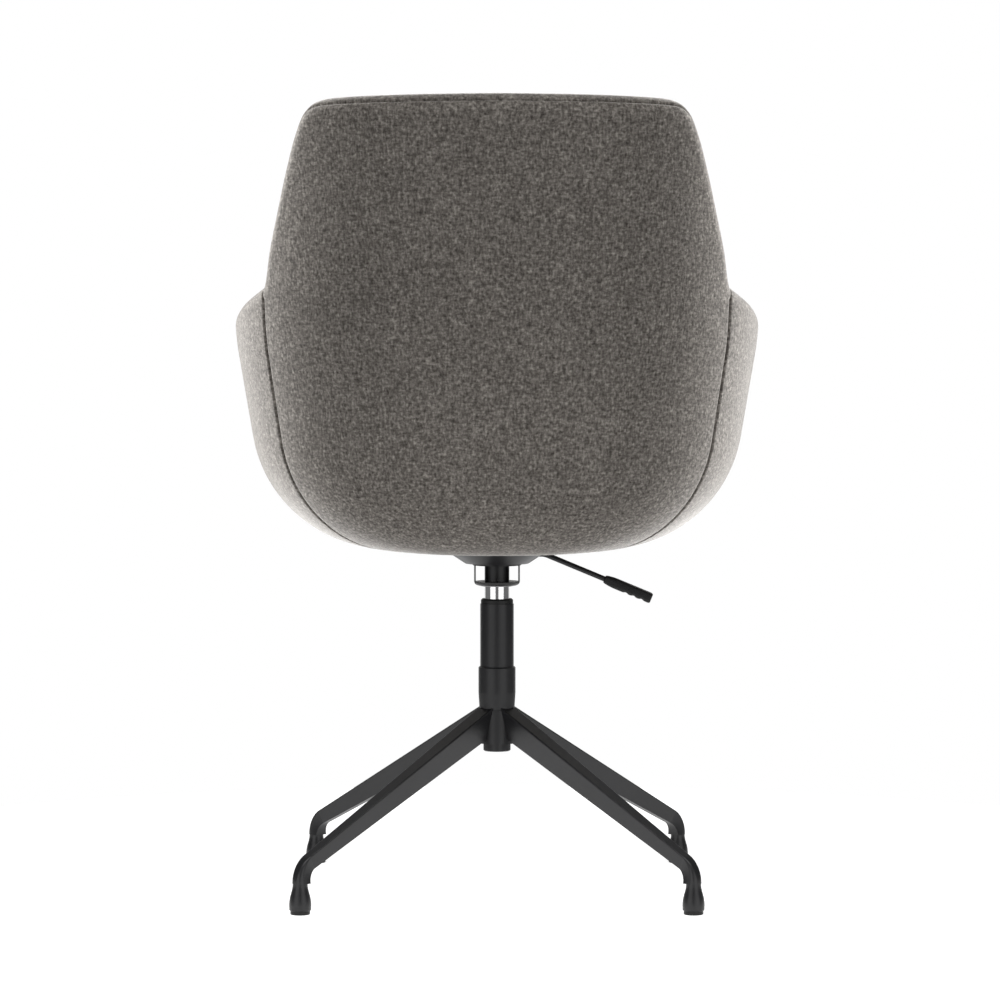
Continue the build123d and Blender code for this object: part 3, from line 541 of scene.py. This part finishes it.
MATERIALS = {
    "black_powder_coat": finish("powder_coat", (0.007, 0.007, 0.008), 0.36, 1600, 0.42),
    "black_plastic": finish("moulded_nylon", (0.006, 0.006, 0.006), 0.45, 900, 0.30),
    "black_paint": finish("satin_paint", (0.006, 0.006, 0.007), 0.34, 1200, 0.38),
    "bumper_rubber": finish("rubber", (0.010, 0.010, 0.010), 0.7, 700, 0.3),
    "chromed_steel": finish("chrome", (0.90, 0.90, 0.91), 0.12, 500, 0.5, 1.0, 0.00001),
    "bright_steel": finish("zinc", (0.5, 0.5, 0.51), 0.32, 900, 0.5, 1.0, 0.00004),
    "shell_plywood": finish("plywood", (0.35, 0.24, 0.14), 0.6, 300, 0.3),
    "melange_fabric": melange_wool(),
}


def dress(obj, material):
    """Gives an object one material."""
    if not obj.material_slots:
        obj.data.materials.append(material)
    for slot in obj.material_slots:
        slot.material = material


def add_piece(obj, body, slot, *replaced):
    """Dresses a new piece and sets it on its body in place of CAD nodes."""
    dress(obj, MATERIALS[slot])
    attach(obj, body)
    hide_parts(*replaced)


for part in frame["record"]["subparts"]:
    dress(nodes[part["node"]], MATERIALS[part["material_slot"]])

tub = build_tub()
cushion = build_cushion()
add_piece(tub, "seat", "melange_fabric", "outer_back_pad", "outer_side_pad_left",
          "outer_side_pad_right", "outer_front_pad", "back_lining", "arm_lining_left",
          "arm_lining_right", "seat_foam_base", "seat_shell", "underside_board")
add_piece(cushion, "seat", "melange_fabric", "seat_cushion")
add_piece(build_grip(), "lever", "black_plastic", "lever_grip")


# ------------------------------------------------------------------------------------------
# Floor, light and camera
# ------------------------------------------------------------------------------------------
FLOOR_RADIUS = 1000.0
FLOOR_SIDES = 96


def pale_floor():
    """Pale disc under the chair, which glows a little so that it stays white."""
    turns = [2 * math.pi * step / FLOOR_SIDES for step in range(FLOOR_SIDES)]
    rim = [(FLOOR_RADIUS * math.cos(turn), FLOOR_RADIUS * math.sin(turn), 0) for turn in turns]
    floor = mesh_object("floor", rim, [tuple(range(FLOOR_SIDES))], False)
    material, tree, shader = new_material("pale_floor")
    grain = noise(tree, coordinates(tree), 40, 3.0, 0.5)
    colour = ramp(tree, grain, (0.3, (0.92, 0.92, 0.92)), (0.7, (0.94, 0.94, 0.94)))
    tree.links.new(colour, shader.inputs["Base Color"])
    shader.inputs["Roughness"].default_value = 0.9
    shader.inputs["Specular IOR Level"].default_value = 0.1
    shader.inputs["Emission Color"].default_value = (1, 1, 1, 1)
    shader.inputs["Emission Strength"].default_value = 0.8
    dress(floor, material)


def studio_world(fill):
    """A white surround whose light on the chair is only as strong as fill."""
    world = bpy.data.worlds.new("studio")
    world.use_nodes = True
    tree = world.node_tree
    background = tree.nodes["Background"]
    background.inputs["Color"].default_value = (1, 1, 1, 1)
    path = tree.nodes.new("ShaderNodeLightPath")
    strength = tree.nodes.new("ShaderNodeMath")
    strength.operation = "MAXIMUM"
    strength.inputs[1].default_value = fill
    tree.links.new(path.outputs["Is Camera Ray"], strength.inputs[0])
    tree.links.new(strength.outputs[0], background.inputs["Strength"])
    bpy.context.scene.world = world


def softbox(name, place, size, power, target=(0, 0.05, 0.6), only=None):
    """Soft rectangular light. Given a collection, it lights only what is in it."""
    light = bpy.data.lights.new(name, "AREA")
    light.shape = "RECTANGLE"
    light.size, light.size_y = size
    light.energy = power
    obj = bpy.data.objects.new(name, light)
    bpy.context.collection.objects.link(obj)
    obj.location = place
    obj.rotation_euler = (Vector(target) - Vector(place)).to_track_quat("-Z", "Y").to_euler()
    obj.visible_camera = False
    obj.light_linking.receiver_collection = only


CAMERA_PLACE = (-0.0034, 5.010, 0.696)
CAMERA_TILT = math.radians(2.9179)     # looking down by this much
CAMERA_LENS = 159.624
SENSOR = 36.0


def rear_camera():
    """Long lens straight behind the chair, a little above the seat."""
    camera = bpy.data.objects.new("camera", bpy.data.cameras.new("camera"))
    bpy.context.collection.objects.link(camera)
    camera.location = CAMERA_PLACE
    camera.rotation_euler = (math.pi / 2 - CAMERA_TILT, 0, math.pi)
    camera.data.sensor_width = SENSOR
    camera.data.lens = CAMERA_LENS
    bpy.context.scene.camera = camera
    bpy.context.scene.view_settings.view_transform = "Standard"
    bpy.context.scene.view_settings.look = "None"


# Lights: place in metres, size in metres and power in watts
WORLD_FILL = 0.15
FLANK_PLACE, FLANK_SIZE, FLANK_POWER = (3.4, -2.0, 1.0), (2.0, 2.4), 520
REAR_PLACE, REAR_SIZE, REAR_LIGHT_POWER = (3.4, 4.2, 1.2), (4.8, 3.2), 72
BACKDROP_PLACE, BACKDROP_SIZE, BACKDROP_POWER = (0, -5.5, 1.2), (10.0, 3.6), 70
OVERHEAD_PLACE, OVERHEAD_SIZE, OVERHEAD_POWER = (0, 1.4, 3.2), (4.0, 1.2), 70
OVERHEAD_TARGET = (0, 0, 0.2)


def on_side(place, side):
    """A place, or its mirror image on the right when side is -1."""
    return (side * place[0], place[1], place[2])


pale_floor()
studio_world(WORLD_FILL)
cloth_pieces = bpy.data.collections.new("cloth_pieces")
cloth_pieces.objects.link(tub)
cloth_pieces.objects.link(cushion)
for side, name in ((1, "left"), (-1, "right")):
    softbox(f"flank_{name}", on_side(FLANK_PLACE, side), FLANK_SIZE, FLANK_POWER, only=cloth_pieces)
    softbox(f"rear_{name}", on_side(REAR_PLACE, side), REAR_SIZE, REAR_LIGHT_POWER)
softbox("backdrop", BACKDROP_PLACE, BACKDROP_SIZE, BACKDROP_POWER)
softbox("overhead", OVERHEAD_PLACE, OVERHEAD_SIZE, OVERHEAD_POWER, OVERHEAD_TARGET)
rear_camera()
